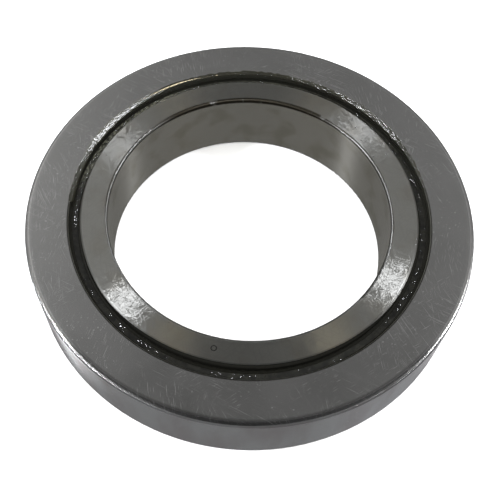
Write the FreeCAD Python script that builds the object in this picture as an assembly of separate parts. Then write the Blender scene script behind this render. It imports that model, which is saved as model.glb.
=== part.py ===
import FreeCAD, Part
import math
import os

# Angular contact ball bearing: an outer ring, an inner ring, a tapered cage and one row of balls.
# Sizes are in millimetres and angles in degrees. The bearing's axis is Z, and the origin is its centre.
# Its +Z side shows the outer ring's high shoulder and the inner ring's low one.

# Boundary dimensions
OUTSIDE_DIAMETER = 90.0
BORE_DIAMETER = 57.0
WIDTH = 15.0
OUTSIDE_CORNER = 1.0
BORE_CORNER = 0.6

# Balls and raceways; a groove's radius is its conformity times the ball's diameter
BALL_DIAMETER = 7.144
CONTACT_ANGLE = 60.0
GROOVE_CONFORMITY = 0.52
RACE_CLEARANCE = 0.07

# Gap between the rings at +Z, whose middle lies inside the pitch circle by the offset.
# A high land's edge is broken by a small chamfer, and a low land's corner is rounded.
GAP_WIDTH = 2.25
GAP_OFFSET = 1.6
EDGE_BREAK = 0.15
LOW_LAND_CORNER = 0.5

# Cage, whose end faces lie below the rings' faces by the recess
CAGE_RECESS = 1.7
CAGE_EDGE = 0.25
LAND_CLEARANCE = 0.3
POCKET_CLEARANCE = 0.2
LEAST_WEB = 1.2

# Sizes that follow from these
FULL_TURN = 360.0
OUTSIDE_RADIUS = OUTSIDE_DIAMETER / 2
BORE_RADIUS = BORE_DIAMETER / 2
HALF_WIDTH = WIDTH / 2
PITCH_RADIUS = (OUTSIDE_RADIUS + BORE_RADIUS) / 2
BALL_RADIUS = BALL_DIAMETER / 2
GROOVE_RADIUS = GROOVE_CONFORMITY * BALL_DIAMETER
OUTER_HIGH_LAND = PITCH_RADIUS - GAP_OFFSET + GAP_WIDTH / 2
INNER_LOW_LAND = OUTER_HIGH_LAND - GAP_WIDTH
OUTER_LOW_LAND = 2 * PITCH_RADIUS - INNER_LOW_LAND
CAGE_END = HALF_WIDTH - CAGE_RECESS
POCKET_RADIUS = BALL_RADIUS + POCKET_CLEARANCE
BALL_COUNT = math.floor(2 * math.pi * PITCH_RADIUS / (2 * POCKET_RADIUS + LEAST_WEB))

CENTRE = FreeCAD.Vector(0, 0, 0)
AXIS = FreeCAD.Vector(0, 0, 1)


def in_section(radius, height):
    """A point of the section, which is drawn in the XZ plane."""
    return FreeCAD.Vector(radius, 0, height)


def half_turn(point):
    """The point turned half round about the ball: it takes the outer ring's groove to the inner's."""
    return in_section(2 * PITCH_RADIUS - point.x, -point.z)


def line(start, end):
    return Part.LineSegment(start, end).toShape()


def arc(start, middle, end):
    return Part.Arc(start, middle, end).toShape()


def revolved(edges):
    return Part.Face(Part.Wire(edges)).revolve(CENTRE, AXIS, FULL_TURN)


def corner(wall_radius, face_height, rounding, inwards):
    """Three points of the rounding between a face and a wall, from the face to the wall."""
    on_face = in_section(wall_radius + math.copysign(rounding, inwards), face_height)
    on_wall = in_section(wall_radius, face_height - math.copysign(rounding, face_height))
    centre = in_section(on_face.x, on_wall.z)
    outwards = (on_face - centre) + (on_wall - centre)
    outwards.normalize()
    return on_face, centre + outwards * rounding, on_wall


def ring(race, wall_radius, rounding):
    """One ring: the eight points of its raceway side, its plain wall's radius and its corners' rounding."""
    edge_a, land_a, lip_a, groove, lip_b, land_b, turn_b, edge_b = race
    inwards = groove.x - wall_radius
    face_a, round_a, wall_a = corner(wall_radius, edge_a.z, rounding, inwards)
    face_b, round_b, wall_b = corner(wall_radius, edge_b.z, rounding, inwards)
    return revolved([
        line(edge_a, land_a),
        line(land_a, lip_a),
        arc(lip_a, groove, lip_b),
        line(lip_b, land_b),
        arc(land_b, turn_b, edge_b),
        line(edge_b, face_b),
        arc(face_b, round_b, wall_b),
        line(wall_b, wall_a),
        arc(wall_a, round_a, face_a),
        line(face_a, edge_a),
    ])


def groove_half_chord(centre, land):
    """Half the groove's opening where it runs out at a land of this radius."""
    return math.sqrt(GROOVE_RADIUS ** 2 - (land - centre.x) ** 2)


def outer_race():
    """The outer ring's raceway side from +Z down: the groove meets the ball at the contact angle."""
    angle = math.radians(CONTACT_ANGLE)
    contact = in_section(math.cos(angle), math.sin(angle))
    centre = in_section(PITCH_RADIUS, 0) - contact * (GROOVE_RADIUS - BALL_RADIUS - RACE_CLEARANCE)
    high_lip = centre.z + groove_half_chord(centre, OUTER_HIGH_LAND)
    low_lip = centre.z - groove_half_chord(centre, OUTER_LOW_LAND)
    inwards = OUTSIDE_RADIUS - OUTER_LOW_LAND
    low_face, low_round, low_land = corner(OUTER_LOW_LAND, -HALF_WIDTH, LOW_LAND_CORNER, inwards)
    return [
        in_section(OUTER_HIGH_LAND + EDGE_BREAK, HALF_WIDTH),
        in_section(OUTER_HIGH_LAND, HALF_WIDTH - EDGE_BREAK),
        in_section(OUTER_HIGH_LAND, high_lip),
        centre + contact * GROOVE_RADIUS,
        in_section(OUTER_LOW_LAND, low_lip),
        low_land,
        low_round,
        low_face,
    ]


def around(shape, index):
    """A copy of a shape turned about the axis to the place of one ball."""
    turned = shape.copy()
    turned.rotate(CENTRE, AXIS, FULL_TURN * index / BALL_COUNT)
    return turned


def cage(race):
    """A ring that tapers past the row of balls between the lips, with a pocket for each ball."""
    high_lip = race[2]
    low_lip = race[4]
    top_inside = INNER_LOW_LAND + LAND_CLEARANCE
    top_outside = OUTER_HIGH_LAND - LAND_CLEARANCE
    taper_top = in_section(top_outside, high_lip.z)
    taper_bottom = in_section(OUTER_LOW_LAND - LAND_CLEARANCE, low_lip.z)
    half = [
        in_section(top_inside, CAGE_END - CAGE_EDGE),
        in_section(top_inside + CAGE_EDGE, CAGE_END),
        in_section(top_outside - CAGE_EDGE, CAGE_END),
        in_section(top_outside, CAGE_END - CAGE_EDGE),
        taper_top,
        taper_bottom,
    ]
    outline = half + [half_turn(point) for point in half]
    body = revolved([line(start, end) for start, end in zip(outline, outline[1:] + outline[:1])])
    taper = taper_bottom - taper_top
    square_to_taper = in_section(-taper.z, taper.x)
    square_to_taper.normalize()
    start = in_section(PITCH_RADIUS, 0) - square_to_taper * BALL_DIAMETER
    pocket = Part.makeCylinder(POCKET_RADIUS, 2 * BALL_DIAMETER, start, square_to_taper)
    return body.cut([around(pocket, index) for index in range(BALL_COUNT)])


def write(name, shape):
    shape.exportStep(os.path.join("parts", name + ".step"))


race = outer_race()
ball = Part.makeSphere(BALL_RADIUS, in_section(PITCH_RADIUS, 0))

os.makedirs("parts", exist_ok=True)
write("outer_ring", ring(race, OUTSIDE_RADIUS, OUTSIDE_CORNER))
write("inner_ring", ring([half_turn(point) for point in race], BORE_RADIUS, BORE_CORNER))
write("cage", cage(race))
for index in range(BALL_COUNT):
    write(f"ball_{index + 1:02d}", around(ball, index))
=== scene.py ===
import math
import random

import bmesh
import bpy
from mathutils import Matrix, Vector, noise
from mathutils.geometry import interpolate_bezier


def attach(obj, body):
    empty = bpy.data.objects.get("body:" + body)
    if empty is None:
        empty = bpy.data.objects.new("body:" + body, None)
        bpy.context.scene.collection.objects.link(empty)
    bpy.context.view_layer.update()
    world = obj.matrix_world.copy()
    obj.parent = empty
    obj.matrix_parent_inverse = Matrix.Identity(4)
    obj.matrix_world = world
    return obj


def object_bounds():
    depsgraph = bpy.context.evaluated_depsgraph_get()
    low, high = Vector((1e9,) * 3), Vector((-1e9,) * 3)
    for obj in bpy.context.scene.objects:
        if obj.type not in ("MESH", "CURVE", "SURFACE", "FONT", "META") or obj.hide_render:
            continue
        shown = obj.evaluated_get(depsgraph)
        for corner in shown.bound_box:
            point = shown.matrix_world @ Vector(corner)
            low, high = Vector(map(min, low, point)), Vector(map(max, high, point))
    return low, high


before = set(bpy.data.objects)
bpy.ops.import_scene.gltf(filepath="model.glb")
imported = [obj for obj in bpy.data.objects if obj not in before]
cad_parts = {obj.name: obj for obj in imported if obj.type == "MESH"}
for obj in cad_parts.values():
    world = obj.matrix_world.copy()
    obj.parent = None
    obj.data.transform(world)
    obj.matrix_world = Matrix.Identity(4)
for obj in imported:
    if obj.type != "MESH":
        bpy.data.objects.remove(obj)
cad_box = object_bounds()

# Angular contact ball bearing, oily from its packing, on a pale floor.
# The script works in metres and radians; MM and DEG let sizes be written in millimetres and degrees.
MM = 0.001
DEG = math.pi / 180

# Camera, as the photograph's outlines give it
IMAGE_SIZE = 500
FOCAL_PIXELS = 804.1
CAMERA_DISTANCE = 168.4 * MM
CAMERA_ELEVATION = 60.58 * DEG
CAMERA_RIGHT = -7.65 * MM
CAMERA_UP = -7.01 * MM
CAMERA_CLIP = 1 * MM
OPTICAL_CENTRE = (210.9, 262.9)
SENSOR_WIDTH = 36.0

# Lamps: direction from the bearing, power, diameter in millimetres, colour and the pieces that each lights.
# The floor glow, under the floor, stands in for light that the floor throws back.
COOL = (0.96, 0.98, 1.05)
WARM = (1.0, 0.86, 0.58)
OIL_DROPS = ("oil_drops_on_edge", "oil_drops_on_cage", "oil_drops_on_face")
LAMPS = {
    "left_lamp": ((-0.82, -0.19, 0.55), 2.9, 60, COOL, ("inner_ring", "floor", "cage")),
    "right_lamp": ((0.85, 0.05, 0.527), 2.0, 60, COOL, ("inner_ring", "floor", "cage")),
    "high_left_lamp": ((-0.42, -0.30, 0.86), 0.135, 60, WARM, ("inner_ring",)),
    "high_right_lamp": ((0.50, -0.30, 0.81), 0.19, 90, WARM, ("inner_ring",)),
    "left_oil_lamp": ((-0.58, -0.15, 0.80), 9.0, 200, COOL, OIL_DROPS),
    "right_oil_lamp": ((0.60, 0.05, 0.80), 4.0, 200, COOL, OIL_DROPS + ("oil_bead",)),
    "high_oil_lamp": ((0.17, 0.20, 0.96), 1.2, 60, WARM, ("oil_bead",)),
    "floor_glow": ((0.475, 0.118, -0.87), 0.07, 500, COOL, ("outer_ring",)),
}
LAMP_DISTANCE = 0.6

# Narrow lamps on the outer ring's corner: direction, power and the angle round the ring that each points at.
# Their beams are aimed a little above the corner.
CORNER_LAMPS = {
    "left_corner_lamp": ((-0.936, -0.352, 0.052), 95.0, -138),
    "right_corner_lamp": ((0.989, -0.151, 0.052), 46.0, -35),
}
CORNER_LAMP_SIZE = 30 * MM
CORNER_LAMP_CONE = 2.4 * DEG
CORNER_LAMP_RISE = 8 * MM

# Floor, and the brightness of the surroundings that the steel mirrors, by the sine of their height
FLOOR_SIZE = 6.0
FLOOR_COLOUR = (0.93, 0.93, 0.92, 1)
FLOOR_ROUGHNESS = 0.9
SKY_STRENGTH = 2.2
ROOM_LEVELS = (
    (-1.0, 0.20), (-0.93, 0.235), (-0.82, 0.21), (0.0, 0.21),
    (0.5, 0.22), (0.72, 0.20), (0.94, 0.097), (1.0, 0.08),
)

# The room's dark front, its glow at the back left and its bright sides: the level of each, and where it fades
# in, by how far a direction points back, up, out to the sides or towards the glow
ROOM_FRONT = 0.04
ROOM_FRONT_BACK = (-0.1, -0.4)
ROOM_FRONT_UP = (0.0, 0.40)
ROOM_GLOW = 0.35
ROOM_GLOW_FROM = Vector((-0.60, 0.50, 0.62))
ROOM_GLOW_TOWARDS = (0.80, 0.98)
ROOM_SIDES = 0.225
ROOM_SIDES_OUT = (0.10, 0.65)
ROOM_SIDES_UP = (0.0, 0.2)

# Oil along the edge of the outer ring's face: the angle round the ring in degrees, how far in millimetres it
# reaches out onto the face, stands above it and bulges into the gap, and the half width of its largest drops
BEAD_STATIONS = (
    (8, 0.02, 0.00, 0.02, 0.05), (14, 0.30, 0.08, 0.20, 0.08), (25, 0.40, 0.10, 0.30, 0.08),
    (31, 0.60, 0.12, 0.30, 0.14), (53, 0.60, 0.12, 0.30, 0.14), (60, 0.50, 0.12, 0.30, 0.09),
    (72, 0.40, 0.10, 0.25, 0.09), (78, 0.60, 0.06, 0.20, 0.04), (106, 0.60, 0.06, 0.18, 0.04),
    (113, 0.65, 0.14, 0.14, 0.05), (119, 0.65, 0.14, 0.14, 0.05), (123, 0.45, 0.12, 0.30, 0.13),
    (137, 0.50, 0.14, 0.36, 0.18), (142, 0.65, 0.16, 0.36, 0.34), (149, 0.65, 0.16, 0.36, 0.34),
    (154, 0.50, 0.14, 0.36, 0.20), (160, 0.32, 0.08, 0.50, 0.10), (174, 0.26, 0.05, 0.62, 0.06),
    (176, 0.26, 0.05, 0.55, 0.05), (177, 0.05, 0.00, 0.02, 0.04),
)

# The bead's section: how much its reach varies, how its curve is drawn up over the face and out over the gap,
# how far its nose hangs for its bulge, and how far below the nose its foot meets the land
BEAD_UNEVEN = 0.5
BEAD_CREST_UP = 1.8
BEAD_SLOPE_OUT = 0.5
BEAD_SLOPE_UP = 0.4
BEAD_DROP = 1.4
BEAD_FOOT = 0.25 * MM
BEAD_STEP = 0.25 * DEG
BEAD_POINTS = 12

# Fine drops over the bead: how many, how far down its skin, and the ranges of their size, as a share of the
# largest there, and of their length for their width
EDGE_DROPS = 1900
EDGE_DROPS_REACH = 0.95
EDGE_DROP_SIZE = (0.3, 1)
EDGE_DROP_LENGTH = (1, 1.5)

# Clusters of drops on the cage, single drops on the cage and drops on the inner ring: angle round the ring in
# degrees, radius, half length along the ring and half width in millimetres
CAGE_CLUSTERS = (
    (-177.9, 35.3, 0.70, 0.20), (-149.7, 35.3, 0.25, 0.18), (-139.3, 34.9, 0.30, 0.20),
    (-134.1, 34.9, 0.40, 0.25), (-126.8, 34.9, 0.30, 0.22), (-123.9, 34.9, 0.40, 0.28),
    (-100.2, 34.9, 0.16, 0.13), (-93.9, 34.9, 0.18, 0.13), (-92.1, 35.0, 0.25, 0.12),
    (-43.2, 35.0, 0.18, 0.14), (-37.7, 35.1, 0.16, 0.14), (-35.7, 34.9, 0.18, 0.15),
    (-33.3, 34.9, 0.16, 0.13), (-31.9, 35.2, 0.20, 0.14), (-23.1, 35.1, 0.25, 0.20),
    (6.9, 35.5, 0.32, 0.26), (13.5, 35.4, 0.45, 0.34), (46.5, 35.5, 0.25, 0.18),
    (155.3, 35.0, 0.22, 0.18), (159.1, 35.4, 0.22, 0.18),
)
CAGE_DROPS = ((-179.4, 35.2, 0.32, 0.24), (-178.7, 35.2, 0.32, 0.24), (-178.0, 35.2, 0.32, 0.24))
FACE_DROPS = (
    (26.6, 29.5, 0.20, 0.16), (36.1, 29.9, 0.34, 0.16), (42.1, 31.5, 0.22, 0.20),
    (30.4, 33.2, 0.26, 0.18), (25.6, 32.3, 0.22, 0.20), (155.1, 32.5, 0.18, 0.14),
    (154.3, 33.3, 0.16, 0.14), (-128.6, 29.4, 0.14, 0.12), (-121.7, 29.4, 0.12, 0.10),
    (-11.6, 33.6, 0.30, 0.12), (-14.0, 33.6, 0.24, 0.10),
)

# The share of their listed sizes that the drops on the inner ring are made at
FACE_DROP_SCALE = 0.6

# A cluster: how many drops, and the ranges of their size, as a share of its half width, and of their places
# along and across it, in its half lengths and half widths
CLUSTER_DROPS = 4
CLUSTER_SIZE = (0.3, 0.7)
CLUSTER_ALONG = (-2, 2)
CLUSTER_ACROSS = (-1, 1)

# Small drops all round the cage and more at its back, between these angles in degrees, and the range of their
# half width
SMALL_DROPS = 120
SMALL_DROPS_FROM = (0, 360)
BACK_DROPS = 170
BACK_DROPS_FROM = (100, 190)
SMALL_DROP_SIZE = (0.05 * MM, 0.11 * MM)

# How long for their width the small drops and those of a cluster are, and the seed of all chance
CAGE_DROP_LENGTH = (1, 2)
SEED = 7

# A drop: its height for its half width, how much its outline varies and how quickly, and its rings and sides
DROP_HEIGHT = 0.6
DROP_UNEVEN = 0.18
DROP_UNEVEN_SCALE = 1.7
DROP_RINGS = 4
DROP_SIDES = 12

# Oil beside the cage: how far it climbs the lands above the cage's end, and its depth
GAP_OIL_RISE = 0.4 * MM
GAP_OIL_DEPTH = 0.5 * MM
GAP_OIL_POINTS = 6
GAP_OIL_SIDES = 240

# The small round mark on the inner ring's face
MARK_ANGLE = -103.3 * DEG
MARK_RADIUS = 31.0 * MM
MARK_SIZE = 0.60 * MM
MARK_LINE = 0.20 * MM
MARK_SIDES = 40

# How deep pieces are sunk into what carries them, and how near to a node's top counts as reaching it
SKIN = 0.01 * MM

# Materials: lengths are millimetres. A colour is red, green, blue and alpha, or one level of grey, and two
# colours are the ends of a mottle. A noise is its scale and detail. Patches of noise also have the two levels
# that they fade in between and, if it isn't nought, what is left outside them. What is named AT fades in
# between two distances from an edge, up to a share if one is given. Other values of four numbers take the
# first two, which are levels of a noise or places along Y, to the last two. What is named DRAWN is how far
# light is drawn out into streaks, and DEPTH how deep the relief is.

# Upright share of a surface's normal where walls give way to flat faces, walls to roundings, and flat faces
# to roundings
WALL_TO_FLAT = (0.60, 0.75)
WALL_TO_ROUND = (0.05, 0.15)
FLAT_TO_ROUND = (0.995, 0.97)

# Scratches: the angle in degrees and the length of each set, their width, how rare they are and, for those
# that show in patches only, how far apart these are. The patches of each set are moved on by its angle.
HAIRS = (((72, 2.6), (97, 3.4), (118, 6.5), (152, 5.0), (30, 2.0)), 0.13, 0.70, 14.0)
SWIRLS_LEFT = (((15, 3.6), (70, 3.2), (130, 3.8)), 0.25, 0.60)
SWIRLS_RIGHT = (((40, 3.6), (100, 3.3), (160, 3.7)), 0.23, 0.60)
SCRATCH_FADE = 0.1
SCRATCH_PATCH_DETAIL = 1.0
SCRATCH_PATCH_LEVELS = (0.48, 0.60)
SCRATCH_PATCH_MOVE = (10.0, 7.0, 0.0)

# Steel of both rings: the turn from along its grinding lines to across them, as a share of a full turn
QUARTER_TURN = 0.25

# Ground steel of the outer ring: mottled face and walls
GROUND_FACE = ((0.460, 0.460, 0.446, 1), (0.505, 0.501, 0.494, 1))
GROUND_WALL = ((0.51, 0.49, 0.50, 1), (0.61, 0.62, 0.63, 1))
GROUND_BANDS = (0.12, 3.0, 0.35, 0.62)
GROUND_BANDS_STRETCH = (1.0, 0.3, 1.0)
GROUND_CLOUD = (0.10, 3.0)
GROUND_ROUGHNESS = (0.3, 0.7, 0.23, 0.27)
GROUND_WALL_DRAWN = 0.85
GROUND_DEPTH = 0.004

# Its grain, and its pale hair scratches and specks
GRAIN = (5.0, 2.0)
GRAIN_SHADE = (0.35, 0.65, 0.0, 0.10)
GRAIN_COLOUR = 0.30
GRAIN_HEIGHT = 0.3
SPECKS = (2.4, 0.0, 0.72, 0.80)
SPECK_GROUPS = (0.09, 1.0, 0.50, 0.62, 0.1)
HAIR_SHARE = 0.55
SPECK_SHARE = 0.6
PALE_MARKS = (0.95, 0.95, 0.94, 1)

# Its nicked roundings, with the painted shade that darkens them elsewhere and, more, at the front, the
# painted shade on the front of its rim, its outer edge rolled down, and the oil by the gap
ROUNDING_SHADE_COLOUR = 0.12
ROUNDING_SHADE_SHARES = (0.25, 0.85)
ROUNDING_ROUGHNESS = 0.36
ROUNDING_DRAWN = 0.5
NICKS = (1.6, 2.0, 0.5, 0.7)
NICK_HEIGHT = 6.0
SHADED_FRONT_FROM = (-27.0, -33.0)
FRONT_RIM_SHADE_COLOUR = 0.08
FRONT_RIM_SHADE_AT = (-0.5, 0.0, 0.5)
ROLLED_WIDTH = 0.7
ROLLED_FALL = 6.0
EDGE_OIL_COLOUR = (0.024, 0.024, 0.019, 1)
EDGE_OIL_AT = (0.30, 0.0)
EDGE_OIL_COVERS_AT = (0.0, -0.03)

# Turned steel of the inner ring: mottled face and bore, the roughness of walls and of faces, stains, turned
# rings and swirled scratches
TURNED_FACE = ((0.365, 0.363, 0.335, 1), (0.423, 0.421, 0.397, 1))
TURNED_WALL = ((0.450, 0.436, 0.380, 1), (0.500, 0.486, 0.438, 1))
TURNED_CLOUD = (0.12, 3.0)
TURNED_ROUGHNESS = (0.22, 0.345)
TURNED_DEPTH = 0.003
STAINS = (0.16, 2.0, 0.48, 0.68)
STAIN_COLOUR = (0.32, 0.30, 0.25, 1)
STAIN_SHARE = 0.35
WALL_STAIN_COLOUR = (0.30, 0.29, 0.19, 1)
WALL_STAIN_SHARE = 0.25
RINGS = (4.0, 3.0)
RINGS_HEIGHT = 0.25
SWIRL = (0.30, 1.0)
SWIRL_PUSH = 1.5
SWIRL_COLOUR = (0.2, 0.2, 0.19, 1)
SWIRL_SHARE = 0.12
SWIRL_HEIGHT = 0.5
SWIRL_TURN = 0.016

# Its oil by the gap, with painted shade that carries the oil's dark band further in at the front, the painted
# shade that darkens its bore's edge rounding, and the grime on the back of its bore's edge
PAINTED_SHADE_FRONT = (-18, -32, 0.0, 0.42)
FILM_AND_SHADE_COLOUR = 0.02
FILM_AND_SHADE_AT = (0.0, 0.12, 0.35)
LAND_OIL_COLOUR = (0.006, 0.006, 0.005, 1)
LAND_OIL_AT = (0.25, 0.42)
LAND_OIL_COVERS_AT = (0.42, 0.45)
LAND_AT = (-0.05, 0.08)
COVERED_ROUGHNESS = 0.6
BORE_ROUNDING_SHADE_COLOUR = 0.12
BORE_ROUNDING_AT = (4, 3)
BORE_ROUNDING_SHADE_SHARE = 0.65
BORE_ROUNDING_ROUGHNESS = 0.42
GRIME = (0.35, 3.0, 0.25, 0.36)
GRIME_COLOUR = (0.055, 0.049, 0.037, 1)
GRIME_FROM_BORE_AT = (1.0, 0.5)
GRIME_FROM_TOP_AT = (-1.0, -0.5)
GRIME_BACK = (20, 25)

# Resin of the cage: its oil is dirtier at the back, and speckled on the side that DIRT_FROM points to
RESIN_CLEAN = ((0.007, 0.007, 0.0057, 1), (0.017, 0.017, 0.0135, 1))
RESIN_DIRTY = ((0.012, 0.012, 0.0095, 1), (0.033, 0.033, 0.026, 1))
RESIN_SPECKLED = ((0.016, 0.016, 0.012, 1), (0.105, 0.105, 0.08, 1))
RESIN_FILM = (0.8, 3.0)
RESIN_FILM_LEVELS = (0.35, 0.7)
RESIN_ROUGHNESS = (0.3, 0.7, 0.45, 0.25)
RESIN_DEPTH = 0.05
SPECKLE = (2.2, 3.0, 0.42, 0.62)
DIRT_BACK = (6, 20)
DIRT_FROM = (-0.77, 0.64, 0.0)
DIRT_REACH = (29.5, 34.0)

# Steel of the balls
BALL_STEEL = ((0.56, 0.56, 0.54, 1), (0.64, 0.64, 0.63, 1))
BALL_FILM = (0.7, 2.0)
BALL_ROUGHNESS = (0.3, 0.7, 0.08, 0.16)

# Oils: the ends of their mottle, and the index of refraction that sets how strongly their skin mirrors
OILS = {
    "dirty_oil": ((0.006, 0.006, 0.004, 1), (0.015, 0.015, 0.011, 1), 1.5),
    "thin_oil": ((0.006, 0.006, 0.0045, 1), (0.013, 0.013, 0.010, 1), 1.3),
    "dusty_oil": ((0.014, 0.014, 0.0095, 1), (0.034, 0.033, 0.023, 1), 2.5),
    "oil": ((0.002, 0.002, 0.0015, 1), (0.006, 0.006, 0.0045, 1), 2.5),
}
OIL_DUST = (3.0, 2.0)
OIL_DEPTH = 0.05

# Etching of the round mark
ETCHED = ((0.004, 0.004, 0.0035, 1), (0.012, 0.012, 0.010, 1))
ETCHED_BURN = (8.0, 2.0)


def grey(level):
    """A colour without hue."""
    return (level, level, level, 1)


class Tree:
    """A node tree, with short calls for the nodes that the materials share. Lengths in it are millimetres."""

    def __init__(self, owner):
        owner.use_nodes = True
        self.tree = owner.node_tree
        self.tree.nodes.clear()

    def add(self, kind, inputs=None, **settings):
        """A node of this kind, with its settings, and with values or other nodes' outputs at its inputs."""
        node = self.tree.nodes.new("ShaderNode" + kind)
        for name, value in settings.items():
            setattr(node, name, value)
        for key, value in (inputs or {}).items():
            if isinstance(value, bpy.types.NodeSocket):
                self.tree.links.new(value, node.inputs[key])
            else:
                node.inputs[key].default_value = value
        return node

    def math(self, operation, first, second=0.0):
        return self.add("Math", {0: first, 1: second}, operation=operation).outputs[0]

    def plus(self, first, second):
        return self.math("ADD", first, second)

    def minus(self, first, second):
        return self.math("SUBTRACT", first, second)

    def times(self, first, second):
        return self.math("MULTIPLY", first, second)

    def most(self, first, second):
        return self.math("MAXIMUM", first, second)

    def blend(self, share, first, second):
        """The number that lies this share of the way from first to second."""
        return self.plus(first, self.times(self.minus(second, first), share))

    def vector(self, operation, first, second=(0.0, 0.0, 0.0)):
        node = self.add("VectorMath", {0: first, 1: second}, operation=operation)
        return node.outputs["Value" if operation in ("LENGTH", "DOT_PRODUCT") else "Vector"]

    def scaled(self, vector, factor):
        return self.add("VectorMath", {0: vector, "Scale": factor}, operation="SCALE").outputs[0]

    def apart(self, vector):
        """The X, Y and Z of a vector."""
        return self.add("SeparateXYZ", {0: vector}).outputs

    def step(self, value, low, high, start=0.0, end=1.0):
        """The value taken smoothly from low..high to start..end, and held there past its ends."""
        inputs = {"Value": value, "From Min": low, "From Max": high, "To Min": start, "To Max": end}
        return self.add("MapRange", inputs, interpolation_type="SMOOTHSTEP").outputs[0]

    def beside(self, value, edge, begin, full, share=1.0):
        """Nought, rising to a share as the value goes from begin to full, both measured from an edge."""
        return self.step(value, edge + begin, edge + full, 0.0, share)

    def noise(self, place, scale, detail, output="Fac"):
        return self.add("TexNoise", {"Vector": place, "Scale": scale, "Detail": detail}).outputs[output]

    def patches(self, place, scale, detail, low, high, least=0.0):
        """Noise cut into patches: one inside them and the least value between them."""
        return self.step(self.noise(place, scale, detail), low, high, least)

    def mix(self, share, first, second):
        """The colour that lies this share of the way from first to second."""
        return self.add("Mix", {"Factor": share, 6: first, 7: second}, data_type="RGBA").outputs[2]

    def own_place(self):
        """Where the surface point is on its own part."""
        return self.scaled(self.add("TexCoord").outputs["Object"], 1 / MM)

    def bump(self, height, depth):
        return self.add("Bump", {"Strength": 1.0, "Distance": depth * MM, "Height": height}).outputs[0]

    def finish(self, inputs):
        """Ends a material's tree in one shader with these inputs."""
        shader = self.add("BsdfPrincipled", inputs)
        self.add("OutputMaterial", {"Surface": shader.outputs[0]})


class RingTree(Tree):
    """The node tree of a ring's steel, with what its finish goes by.

    These are the place on the ring with its Y, Z and radius, the shares of flat face and of rounding, and the
    skin: flat faces as they lie and walls unrolled, so that marks run over both. The walls' seam is at +Y for
    a seam of 1 and at -Y for -1."""

    def __init__(self, owner, seam):
        super().__init__(owner)
        self.place = self.own_place()
        x, self.y, self.z = self.apart(self.place)
        self.radius = self.vector("LENGTH", self.vector("MULTIPLY", self.place, (1.0, 1.0, 0.0)))
        upright = self.math("ABSOLUTE", self.apart(self.add("TexCoord").outputs["Normal"])[2])
        self.flat = self.step(upright, *WALL_TO_FLAT)
        self.rounded = self.times(self.step(upright, *WALL_TO_ROUND), self.step(upright, *FLAT_TO_ROUND))
        turn = self.math("ARCTAN2", x, self.times(self.y, -seam))
        wall = self.add("CombineXYZ", {0: self.times(turn, self.radius), 1: self.z})
        face = self.add("CombineXYZ", {0: x, 1: self.y})
        inputs = {"Factor": self.flat, 4: wall.outputs[0], 5: face.outputs[0]}
        self.skin = self.add("Mix", inputs, data_type="VECTOR").outputs[1]

    def scratches(self, skin, sets, width, rareness, patches=None):
        """Fine tapered marks, from the angle in degrees and the length of each set, their width and rareness.

        With patches, each set shows only in its own patches, which are about this far apart."""
        marks = 0.0
        for turn, length in sets:
            inputs = {"Vector": skin, "Rotation": (0.0, 0.0, turn * DEG), "Scale": (length, width, 1.0)}
            laid = self.add("Mapping", inputs, vector_type="TEXTURE").outputs[0]
            lines = self.patches(laid, 1.0, 0.0, rareness, rareness + SCRATCH_FADE)
            if patches:
                moved = self.vector("ADD", skin, [turn * move for move in SCRATCH_PATCH_MOVE])
                shown = self.patches(moved, 1 / patches, SCRATCH_PATCH_DETAIL, *SCRATCH_PATCH_LEVELS)
                lines = self.times(lines, shown)
            marks = self.most(marks, lines)
        return marks

    def round_axis(self):
        """The direction round the ring's axis, which the steel was ground and turned in."""
        return self.add("Tangent", direction_type="RADIAL", axis="Z").outputs[0]


def new_material(name):
    """A material and its empty node tree."""
    material = bpy.data.materials.new(name)
    return material, Tree(material)


def give(obj, material):
    """Makes this the only material of an object."""
    obj.data.materials.clear()
    obj.data.materials.append(material)


def ground_colour(tree, edge, rim, cloud, grain, marks):
    """Mottled face and banded walls, roundings darkened by painted shade, pale marks, oil by the gap, painted
    rim shade.
    """
    face = tree.mix(cloud, *GROUND_FACE)
    face = tree.mix(tree.step(grain, *GRAIN_SHADE), face, grey(GRAIN_COLOUR))
    stretched = tree.vector("MULTIPLY", tree.skin, GROUND_BANDS_STRETCH)
    wall = tree.mix(tree.patches(stretched, *GROUND_BANDS), *GROUND_WALL)
    colour = tree.mix(tree.flat, wall, face)
    # Painted shade: the roundings are darkened all round, and more at the front.
    front = tree.times(tree.step(tree.y, *SHADED_FRONT_FROM), tree.flat)
    dark = tree.times(tree.rounded, tree.step(front, 0.0, 1.0, *ROUNDING_SHADE_SHARES))
    colour = tree.mix(dark, colour, grey(ROUNDING_SHADE_COLOUR))
    colour = tree.mix(marks, colour, PALE_MARKS)
    colour = tree.mix(tree.beside(tree.radius, edge, *EDGE_OIL_AT), colour, EDGE_OIL_COLOUR)
    # Painted shade: the front of the face's outer rim is darkened.
    front_rim_shade = tree.times(tree.beside(tree.radius, rim, *FRONT_RIM_SHADE_AT), front)
    return tree.mix(front_rim_shade, colour, grey(FRONT_RIM_SHADE_COLOUR))


def ground_height(tree, rim, grain, hairs):
    """Grain, scratches and nicked roundings, with the face's outer edge rolled down."""
    nicks = tree.times(tree.patches(tree.place, *NICKS), tree.rounded)
    height = tree.plus(tree.times(grain, GRAIN_HEIGHT), tree.plus(hairs, tree.times(nicks, NICK_HEIGHT)))
    past = tree.most(tree.minus(tree.radius, rim - ROLLED_WIDTH), 0.0)
    rolled = tree.times(tree.math("POWER", past, 2.0), tree.flat)
    return tree.minus(height, tree.times(rolled, ROLLED_FALL))


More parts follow.
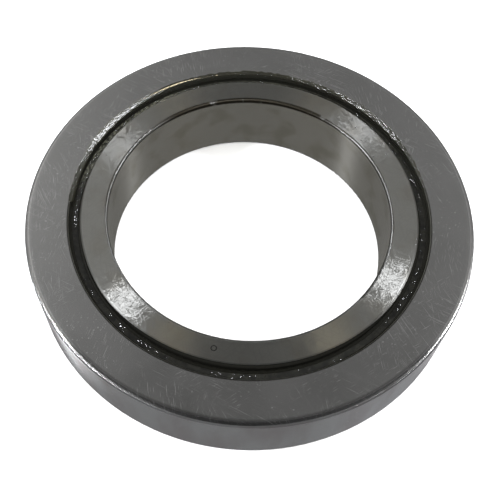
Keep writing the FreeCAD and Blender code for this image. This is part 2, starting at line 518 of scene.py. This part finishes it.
def outer_ring_material(edge, rim):
    """Ground steel, evenly dull, with scattered hair scratches and specks, cloudy walls and oil by the gap.

    Painted shade makes the front of its top corner darker than the rest."""
    material = bpy.data.materials.new("ground_steel")
    tree = RingTree(material, 1)
    cloud = tree.noise(tree.skin, *GROUND_CLOUD)
    grain = tree.noise(tree.skin, *GRAIN)
    hairs = tree.times(tree.scratches(tree.skin, *HAIRS), tree.flat)
    specks = tree.times(tree.patches(tree.skin, *SPECKS), tree.patches(tree.skin, *SPECK_GROUPS))
    marks = tree.most(tree.times(hairs, HAIR_SHARE), tree.times(specks, SPECK_SHARE))
    walls_drawn = tree.times(tree.minus(1.0, tree.flat), GROUND_WALL_DRAWN)
    roughness = tree.step(cloud, *GROUND_ROUGHNESS)
    tree.finish({
        "Base Color": ground_colour(tree, edge, rim, cloud, grain, marks),
        "Metallic": tree.minus(1.0, tree.beside(tree.radius, edge, *EDGE_OIL_COVERS_AT)),
        "Roughness": tree.blend(tree.rounded, roughness, ROUNDING_ROUGHNESS),
        "Anisotropic": tree.most(walls_drawn, tree.times(tree.rounded, ROUNDING_DRAWN)),
        "Anisotropic Rotation": tree.times(tree.minus(1.0, tree.rounded), QUARTER_TURN),
        "Normal": tree.bump(ground_height(tree, rim, grain, hairs), GROUND_DEPTH),
        "Tangent": tree.round_axis(),
    })
    return material


def turned_colour(tree, edge, film, scratches, bore_rounding, grime):
    """Mottled, stained face and bore, dark scratches, oil by the gap and a grimy bore edge; painted shade
    widens the oil at the front and darkens the bore edge.
    """
    cloud = tree.noise(tree.skin, *TURNED_CLOUD)
    stains = tree.patches(tree.skin, *STAINS)
    wall = tree.mix(cloud, *TURNED_WALL)
    wall = tree.mix(tree.times(stains, WALL_STAIN_SHARE), wall, WALL_STAIN_COLOUR)
    colour = tree.mix(tree.flat, wall, tree.mix(cloud, *TURNED_FACE))
    colour = tree.mix(tree.times(stains, STAIN_SHARE), colour, STAIN_COLOUR)
    colour = tree.mix(tree.times(scratches, tree.times(tree.flat, SWIRL_SHARE)), colour, SWIRL_COLOUR)
    # Oil by the gap; at the front its dark band is carried further in as painted shade.
    colour = tree.mix(tree.beside(film, edge, *FILM_AND_SHADE_AT), colour, grey(FILM_AND_SHADE_COLOUR))
    colour = tree.mix(tree.beside(film, edge, *LAND_OIL_AT), colour, LAND_OIL_COLOUR)
    # Painted shade: the bore's edge rounding is darkened.
    colour = tree.mix(tree.times(bore_rounding, BORE_ROUNDING_SHADE_SHARE), colour, grey(BORE_ROUNDING_SHADE_COLOUR))
    return tree.mix(grime, colour, GRIME_COLOUR)


def bore_grime(tree, bore, top):
    """Grime in patches on the back of the bore's top edge."""
    edge = tree.times(
        tree.beside(tree.radius, bore, *GRIME_FROM_BORE_AT), tree.beside(tree.z, top, *GRIME_FROM_TOP_AT)
    )
    return tree.times(edge, tree.times(tree.patches(tree.place, *GRIME), tree.step(tree.y, *GRIME_BACK)))


def inner_ring_material(bore, edge, top):
    """Turned steel: fine rings round the axis draw light out into streaks, crossed by swirled hair scratches.

    Oil lies on its face's edge by the gap, and grime on the back of its bore's edge. Painted shade carries
    the oil's dark band further in at the front and darkens the bore's edge rounding."""
    material = bpy.data.materials.new("turned_steel")
    tree = RingTree(material, -1)
    scale, detail = RINGS
    inputs = {"W": tree.radius, "Scale": scale, "Detail": detail}
    rings = tree.add("TexNoise", inputs, noise_dimensions="1D").outputs["Fac"]
    push = tree.noise(tree.skin, *SWIRL, output="Color")
    bent = tree.vector("ADD", tree.skin, tree.scaled(push, SWIRL_PUSH))
    left = tree.scratches(bent, *SWIRLS_LEFT)
    right = tree.scratches(bent, *SWIRLS_RIGHT)
    level = tree.minus(tree.flat, tree.times(tree.flat, tree.rounded))
    swirls = tree.times(tree.minus(left, right), level)
    # Painted shade: at the front the oil's dark band is carried this much further in onto the face.
    film = tree.plus(tree.radius, tree.step(tree.y, *PAINTED_SHADE_FRONT))
    bore_rounding = tree.times(tree.rounded, tree.beside(tree.radius, bore, *BORE_ROUNDING_AT))
    grime = bore_grime(tree, bore, top)
    covered = tree.most(tree.beside(tree.radius, edge, *LAND_AT), grime)
    roughness = tree.step(tree.flat, 0.0, 1.0, *TURNED_ROUGHNESS)
    roughness = tree.blend(bore_rounding, roughness, BORE_ROUNDING_ROUGHNESS)
    across = tree.plus(QUARTER_TURN, tree.times(swirls, SWIRL_TURN))
    height = tree.plus(tree.times(rings, RINGS_HEIGHT), tree.times(swirls, SWIRL_HEIGHT))
    tree.finish({
        "Base Color": turned_colour(tree, edge, film, right, bore_rounding, grime),
        "Metallic": tree.minus(1.0, tree.beside(film, edge, *LAND_OIL_COVERS_AT)),
        "Roughness": tree.blend(covered, roughness, COVERED_ROUGHNESS),
        "Specular IOR Level": 0.0,
        "Anisotropic": 1.0,
        "Anisotropic Rotation": tree.times(tree.minus(1.0, bore_rounding), across),
        "Normal": tree.bump(height, TURNED_DEPTH),
        "Tangent": tree.round_axis(),
    })
    return material


def cage_material():
    """Black moulded resin, wet with oil that is dirtier towards the back."""
    material, tree = new_material("oily_resin")
    place = tree.own_place()
    film = tree.noise(place, *RESIN_FILM)
    patch = tree.step(film, *RESIN_FILM_LEVELS)
    back = tree.step(tree.apart(place)[1], *DIRT_BACK)
    colour = tree.mix(back, tree.mix(patch, *RESIN_CLEAN), tree.mix(patch, *RESIN_DIRTY))
    speckled = tree.mix(tree.patches(place, *SPECKLE), *RESIN_SPECKLED)
    near = tree.step(tree.vector("DOT_PRODUCT", place, DIRT_FROM), *DIRT_REACH)
    tree.finish({
        "Base Color": tree.mix(near, colour, speckled),
        "Roughness": tree.step(film, *RESIN_ROUGHNESS),
        "Specular IOR Level": 0.25,
        "Coat Weight": 0.2,
        "Coat Roughness": 0.1,
        "Normal": tree.bump(film, RESIN_DEPTH),
    })
    return material


def ball_material():
    """Polished bearing steel under a thin film of oil."""
    material, tree = new_material("polished_steel")
    film = tree.noise(tree.own_place(), *BALL_FILM)
    tree.finish({
        "Base Color": tree.mix(film, *BALL_STEEL),
        "Metallic": 1.0,
        "Roughness": tree.step(film, *BALL_ROUGHNESS),
    })
    return material


def oil_material(name):
    """Dirty olive oil under a shining skin."""
    dark, pale, mirroring = OILS[name]
    material, tree = new_material(name)
    dust = tree.noise(tree.own_place(), *OIL_DUST)
    tree.finish({
        "Base Color": tree.mix(dust, dark, pale),
        "Roughness": 0.4,
        "Specular IOR Level": 0.0,
        "Coat Weight": 1.0,
        "Coat Roughness": 0.15,
        "Coat IOR": mirroring,
        "Normal": tree.bump(dust, OIL_DEPTH),
    })
    return material


def mark_material():
    """Steel burnt dark by etching."""
    material, tree = new_material("etched_steel")
    burn = tree.noise(tree.own_place(), *ETCHED_BURN)
    tree.finish({
        "Base Color": tree.mix(burn, *ETCHED),
        "Roughness": 0.7,
        "Specular IOR Level": 0.15,
    })
    return material


def node_radii(name, above=-math.inf):
    """Radii of the points of a node that lie above a height."""
    points = [vertex.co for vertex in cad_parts[name].data.vertices]
    return [math.hypot(point.x, point.y) for point in points if point.z > above]


def node_rings(name):
    """Height of a node's top, and the least and greatest radius of what reaches it."""
    top = max(vertex.co.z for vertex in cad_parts[name].data.vertices)
    radii = node_radii(name, top - SKIN)
    return top, min(radii), max(radii)


def dress():
    """Gives every node its finish."""
    _, gap_edge, rim = node_rings("outer_ring")
    top, _, face_edge = node_rings("inner_ring")
    bore = min(node_radii("inner_ring"))
    finishes = {
        "outer_ring": outer_ring_material(gap_edge / MM, rim / MM),
        "inner_ring": inner_ring_material(bore / MM, face_edge / MM, top / MM),
        "cage": cage_material(),
    }
    balls = ball_material()
    for name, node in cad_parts.items():
        give(node, finishes.get(name, balls))


def add_piece(name, shape, body, material):
    """A mesh object from a bmesh, shaded smooth, riding on a body."""
    bmesh.ops.recalc_face_normals(shape, faces=shape.faces)
    mesh = bpy.data.meshes.new(name)
    shape.to_mesh(mesh)
    shape.free()
    mesh.shade_smooth()
    piece = bpy.data.objects.new(name, mesh)
    bpy.context.scene.collection.objects.link(piece)
    give(piece, material)
    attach(piece, body)


def polar(radius, angle, height):
    """The point at this radius and angle round the Z axis, and at this height."""
    return Vector((radius * math.cos(angle), radius * math.sin(angle), height))


def full_turn(sides):
    """Angles that part a full turn evenly."""
    return [2 * math.pi * side / sides for side in range(sides)]


def join_rows(shape, rows):
    """Faces between each row of vertices, which goes round a closed section, and the row after it."""
    for row, following in zip(rows, rows[1:]):
        for index in range(len(row)):
            after = (index + 1) % len(row)
            shape.faces.new((row[index], row[after], following[after], following[index]))


def bead_at(angle):
    """The bead's reach, rise, bulge and largest drops in metres, between the stations around this angle."""
    for before, after in zip(BEAD_STATIONS, BEAD_STATIONS[1:]):
        if before[0] * DEG <= angle <= after[0] * DEG:
            break
    share = (angle / DEG - before[0]) / (after[0] - before[0])
    return [(start + (end - start) * share) * MM for start, end in zip(before[1:], after[1:])]


def bead_edges():
    """The outer ring's top, and the radii of its face's edge and of its land."""
    top, edge, _ = node_rings("outer_ring")
    return top, edge, min(node_radii("outer_ring"))


def bead_skin(angle, top, edge, land):
    """The bead's skin in section, as radius and height, from the face over its crest to its nose."""
    reach, rise, bulge, _ = bead_at(angle)
    reach *= 1 + BEAD_UNEVEN * noise.noise(polar(edge, angle, 0) / MM)
    start = Vector((edge + reach, top - SKIN, 0))
    crest = Vector((edge + reach, top + BEAD_CREST_UP * rise, 0))
    slope = Vector((land - BEAD_SLOPE_OUT * bulge, top + BEAD_SLOPE_UP * rise, 0))
    nose = Vector((land - bulge, top - BEAD_DROP * bulge, 0))
    return interpolate_bezier(start, crest, slope, nose, BEAD_POINTS)


def bead_section(angle, top, edge, land):
    """The bead's skin, closed inside the steel."""
    skin = bead_skin(angle, top, edge, land)
    inside = 2 * SKIN
    skin.append(Vector((land + inside, skin[-1].y - BEAD_FOOT, 0)))
    skin.append(Vector((land + inside, top - (skin[0].x - edge), 0)))
    skin.append(Vector((skin[0].x - inside, top - inside - SKIN, 0)))
    return [polar(point.x, angle, point.y) for point in skin]


def make_bead(material):
    """Oil drawn along the edge of the outer ring's face."""
    top, edge, land = bead_edges()
    first, last = BEAD_STATIONS[0][0] * DEG, BEAD_STATIONS[-1][0] * DEG
    count = round((last - first) / BEAD_STEP)
    shape = bmesh.new()
    rows = []
    for index in range(count + 1):
        section = bead_section(first + (last - first) * index / count, top, edge, land)
        rows.append([shape.verts.new(point) for point in section])
    join_rows(shape, rows)
    shape.faces.new(rows[0])
    shape.faces.new(rows[-1])
    add_piece("oil_bead", shape, "outer_ring", material)


def make_gap_oil(material):
    """Oil held in the narrow clearances on both sides of the cage, its surface hollow between their walls."""
    top, least, most = node_rings("cage")
    inner_land = max(node_radii("inner_ring", top))
    outer_land = min(node_radii("outer_ring", top))
    shape = bmesh.new()
    for land, cage_edge in ((inner_land, least), (outer_land, most)):
        inwards = math.copysign(SKIN, land - cage_edge)
        start = Vector((land + inwards, top + GAP_OIL_RISE, 0))
        low = Vector((land, top, 0))
        end = Vector((cage_edge - inwards, top + SKIN, 0))
        section = interpolate_bezier(start, low, low, end, GAP_OIL_POINTS)
        section.append(Vector((cage_edge - inwards, top - GAP_OIL_DEPTH, 0)))
        section.append(Vector((land + inwards, top - GAP_OIL_DEPTH, 0)))
        rows = []
        for turn in full_turn(GAP_OIL_SIDES):
            rows.append([shape.verts.new(polar(point.x, turn, point.y)) for point in section])
        join_rows(shape, rows + rows[:1])
    add_piece("oil_beside_cage", shape, "cage", material)


def add_drop(shape, foot, along, across, half_length, half_width):
    """A dome of oil with an uneven outline, its foot just under the surface that along and across lie in."""
    up = across.cross(along)
    foot = foot - up * SKIN
    rise = DROP_HEIGHT * half_width
    rings = []
    for ring in range(1, DROP_RINGS + 1):
        share = math.sin(math.pi / 2 * ring / DROP_RINGS)
        lift = up * rise * math.sqrt(1 - share ** 2)
        points = []
        for turn in full_turn(DROP_SIDES):
            place = (foot / MM + polar(1, turn, 0)) * DROP_UNEVEN_SCALE
            uneven = 1 + DROP_UNEVEN * noise.noise(place)
            flat = along * math.cos(turn) * half_length + across * math.sin(turn) * half_width
            points.append(shape.verts.new(foot + flat * share * uneven + lift))
        rings.append(points)
    crown = shape.verts.new(foot + up * rise)
    for side in range(DROP_SIDES):
        after = (side + 1) % DROP_SIDES
        shape.faces.new((crown, rings[0][side], rings[0][after]))
        for ring, outer in zip(rings, rings[1:]):
            shape.faces.new((ring[side], outer[side], outer[after], ring[after]))
    shape.faces.new(rings[-1])


def add_flat_drop(shape, angle, radius, height, half_length, half_width):
    """A drop on a flat face."""
    foot = polar(radius, angle, height)
    inwards = polar(-1, angle, 0)
    along = inwards.cross(Vector((0, 0, -1)))
    add_drop(shape, foot, along, inwards, half_length, half_width)


def make_edge_drops(material):
    """Fine drops all over the bead, closer together where they are larger."""
    top, edge, land = bead_edges()
    chance = random.Random(SEED)
    shape = bmesh.new()
    largest = max(size for *_, size in BEAD_STATIONS) * MM
    drops = 0
    while drops < EDGE_DROPS:
        angle = chance.uniform(BEAD_STATIONS[0][0], BEAD_STATIONS[-1][0]) * DEG
        *_, size = bead_at(angle)
        if chance.random() * largest > size:
            continue
        drops += 1
        size *= chance.uniform(*EDGE_DROP_SIZE)
        skin = bead_skin(angle, top, edge, land)
        index = chance.randrange(round(EDGE_DROPS_REACH * BEAD_POINTS))
        point = skin[index]
        down = (skin[index + 1] - point).normalized()
        foot = polar(point.x, angle, point.y)
        along = polar(1, angle - 90 * DEG, 0)
        across = polar(down.x, angle, down.y)
        add_drop(shape, foot, along, across, size * chance.uniform(*EDGE_DROP_LENGTH), size)
    add_piece("oil_drops_on_edge", shape, "outer_ring", material)


def make_cage_drops(material):
    """Clusters of drops and single ones on the end of the cage, and small ones scattered round it."""
    top, least, most = node_rings("cage")
    chance = random.Random(SEED)
    shape = bmesh.new()
    for turn, radius, half_length, half_width in CAGE_CLUSTERS:
        for _ in range(CLUSTER_DROPS):
            size = half_width * MM * chance.uniform(*CLUSTER_SIZE)
            angle = turn * DEG + chance.uniform(*CLUSTER_ALONG) * half_length / radius
            place = radius * MM + chance.uniform(*CLUSTER_ACROSS) * half_width * MM
            add_flat_drop(shape, angle, place, top, size * chance.uniform(*CAGE_DROP_LENGTH), size)
    for turn, radius, half_length, half_width in CAGE_DROPS:
        add_flat_drop(shape, turn * DEG, radius * MM, top, half_length * MM, half_width * MM)
    for span in [SMALL_DROPS_FROM] * SMALL_DROPS + [BACK_DROPS_FROM] * BACK_DROPS:
        angle = chance.uniform(*span) * DEG
        size = chance.uniform(*SMALL_DROP_SIZE)
        radius = chance.uniform(least + size, most - size)
        add_flat_drop(shape, angle, radius, top, size * chance.uniform(*CAGE_DROP_LENGTH), size)
    add_piece("oil_drops_on_cage", shape, "cage", material)


def make_face_drops(material):
    """A few drops on the inner ring's face."""
    top, _, _ = node_rings("inner_ring")
    scale = FACE_DROP_SCALE * MM
    shape = bmesh.new()
    for turn, radius, half_length, half_width in FACE_DROPS:
        add_flat_drop(shape, turn * DEG, radius * MM, top, scale * half_length, scale * half_width)
    add_piece("oil_drops_on_face", shape, "inner_ring", material)


def make_mark(material):
    """A small etched ring, a hair proud of the face so that it shows."""
    top, _, _ = node_rings("inner_ring")
    centre = polar(MARK_RADIUS, MARK_ANGLE, top)
    hole = MARK_SIZE - MARK_LINE
    proud = SKIN / 2
    corners = [(MARK_SIZE, -SKIN), (MARK_SIZE, proud), (hole, proud), (hole, -SKIN)]
    shape = bmesh.new()
    rows = []
    for turn in full_turn(MARK_SIDES):
        rows.append([shape.verts.new(centre + polar(radius, turn, height)) for radius, height in corners])
    join_rows(shape, rows + rows[:1])
    add_piece("round_mark", shape, "inner_ring", material)


def make_floor(height):
    """A wide pale floor, which isn't mirrored in the steel."""
    half = FLOOR_SIZE / 2
    mesh = bpy.data.meshes.new("floor")
    corners = [(-half, -half, height), (half, -half, height), (half, half, height), (-half, half, height)]
    mesh.from_pydata(corners, [], [(0, 1, 2, 3)])
    floor = bpy.data.objects.new("floor", mesh)
    bpy.context.scene.collection.objects.link(floor)
    floor.visible_glossy = False
    material, tree = new_material("pale_floor")
    tree.finish({"Base Color": FLOOR_COLOUR, "Roughness": FLOOR_ROUGHNESS})
    give(floor, material)


def room_colour(tree):
    """The room that steel mirrors, with a dark front, a glow at the back left and bright sides."""
    towards = tree.add("TexCoord").outputs["Generated"]
    x, y, z = tree.apart(towards)
    ramp = tree.add("ValToRGB", {0: tree.add("MapRange", {"Value": z, "From Min": -1.0}).outputs[0]})
    while len(ramp.color_ramp.elements) < len(ROOM_LEVELS):
        ramp.color_ramp.elements.new(0.5)
    for element, (height, level) in zip(ramp.color_ramp.elements, ROOM_LEVELS):
        element.position = (height + 1) / 2
        element.color = grey(level)
    front = tree.times(tree.step(y, *ROOM_FRONT_BACK), tree.step(z, *ROOM_FRONT_UP))
    room = tree.mix(front, ramp.outputs[0], grey(ROOM_FRONT))
    nearness = tree.vector("DOT_PRODUCT", towards, ROOM_GLOW_FROM)
    glow = tree.step(nearness, *ROOM_GLOW_TOWARDS, 0.0, ROOM_GLOW)
    sides = tree.times(tree.step(tree.math("ABSOLUTE", x), *ROOM_SIDES_OUT), tree.step(z, *ROOM_SIDES_UP))
    return tree.vector("ADD", room, tree.plus(glow, tree.times(sides, ROOM_SIDES)))


def make_surroundings():
    """A bright sky lights what is dull, and what is glossy mirrors a dim room instead."""
    world = bpy.data.worlds.new("studio")
    bpy.context.scene.world = world
    tree = Tree(world)
    dim = tree.add("Background", {"Color": room_colour(tree), "Strength": 1.0})
    bright = tree.add("Background", {"Color": grey(1.0), "Strength": SKY_STRENGTH})
    glossy = tree.add("LightPath").outputs["Is Glossy Ray"]
    both = tree.add("MixShader", {0: glossy, 1: bright.outputs[0], 2: dim.outputs[0]})
    tree.add("OutputWorld", {"Surface": both.outputs[0]})


def add_lamp(light, place, beam, lit):
    """A lamp at a place, with its beam this way, that lights only the pieces named."""
    lamp = bpy.data.objects.new(light.name, light)
    lamp.location = place
    lamp.rotation_euler = beam.to_track_quat("-Z", "Y").to_euler()
    bpy.context.scene.collection.objects.link(lamp)
    receivers = bpy.data.collections.new(lamp.name)
    for piece in lit:
        receivers.objects.link(bpy.data.objects[piece])
    lamp.light_linking.receiver_collection = receivers


def make_lamps():
    """Round lamps that face the bearing."""
    for name, (towards, power, size, colour, lit) in LAMPS.items():
        light = bpy.data.lights.new(name, "AREA")
        light.shape = "DISK"
        light.size = size * MM
        light.energy = power
        light.color = colour
        direction = Vector(towards).normalized()
        add_lamp(light, direction * LAMP_DISTANCE, -direction, lit)
    # Only what the floor glow lights can block it, so the floor lets it through.
    glow = bpy.data.objects["floor_glow"].light_linking
    glow.blocker_collection = glow.receiver_collection


def make_corner_lamps():
    """Narrow beams that make the highlights on the outer ring's top corner."""
    top, _, rim = node_rings("outer_ring")
    for name, (towards, power, angle) in CORNER_LAMPS.items():
        light = bpy.data.lights.new(name, "SPOT")
        light.shadow_soft_size = CORNER_LAMP_SIZE / 2
        light.spot_size = CORNER_LAMP_CONE
        light.spot_blend = 1.0
        light.energy = power
        place = Vector(towards).normalized() * LAMP_DISTANCE
        add_lamp(light, place, polar(rim, angle * DEG, top + CORNER_LAMP_RISE) - place, ("outer_ring",))


def make_camera():
    """The camera looks along +Y and down; the shift sets its optical centre where the photograph has it."""
    data = bpy.data.cameras.new("camera")
    data.sensor_width = SENSOR_WIDTH
    data.lens = SENSOR_WIDTH * FOCAL_PIXELS / IMAGE_SIZE
    data.shift_x = (IMAGE_SIZE / 2 - OPTICAL_CENTRE[0]) / IMAGE_SIZE
    data.shift_y = (OPTICAL_CENTRE[1] - IMAGE_SIZE / 2) / IMAGE_SIZE
    data.clip_start = CAMERA_CLIP
    back = Vector((0, -math.cos(CAMERA_ELEVATION), math.sin(CAMERA_ELEVATION)))
    up = Vector((0, math.sin(CAMERA_ELEVATION), math.cos(CAMERA_ELEVATION)))
    camera = bpy.data.objects.new("camera", data)
    camera.location = back * CAMERA_DISTANCE + up * CAMERA_UP + Vector((CAMERA_RIGHT, 0, 0))
    camera.rotation_euler = (90 * DEG - CAMERA_ELEVATION, 0, 0)
    bpy.context.scene.collection.objects.link(camera)
    bpy.context.scene.camera = camera


dress()
make_bead(oil_material("dirty_oil"))
make_gap_oil(oil_material("thin_oil"))
make_edge_drops(oil_material("dusty_oil"))
oil = oil_material("oil")
make_cage_drops(oil)
make_face_drops(oil)
make_mark(mark_material())
make_floor(cad_box[0][2])
make_surroundings()
make_lamps()
make_corner_lamps()
make_camera()
bpy.context.scene.view_settings.view_transform = "Standard"
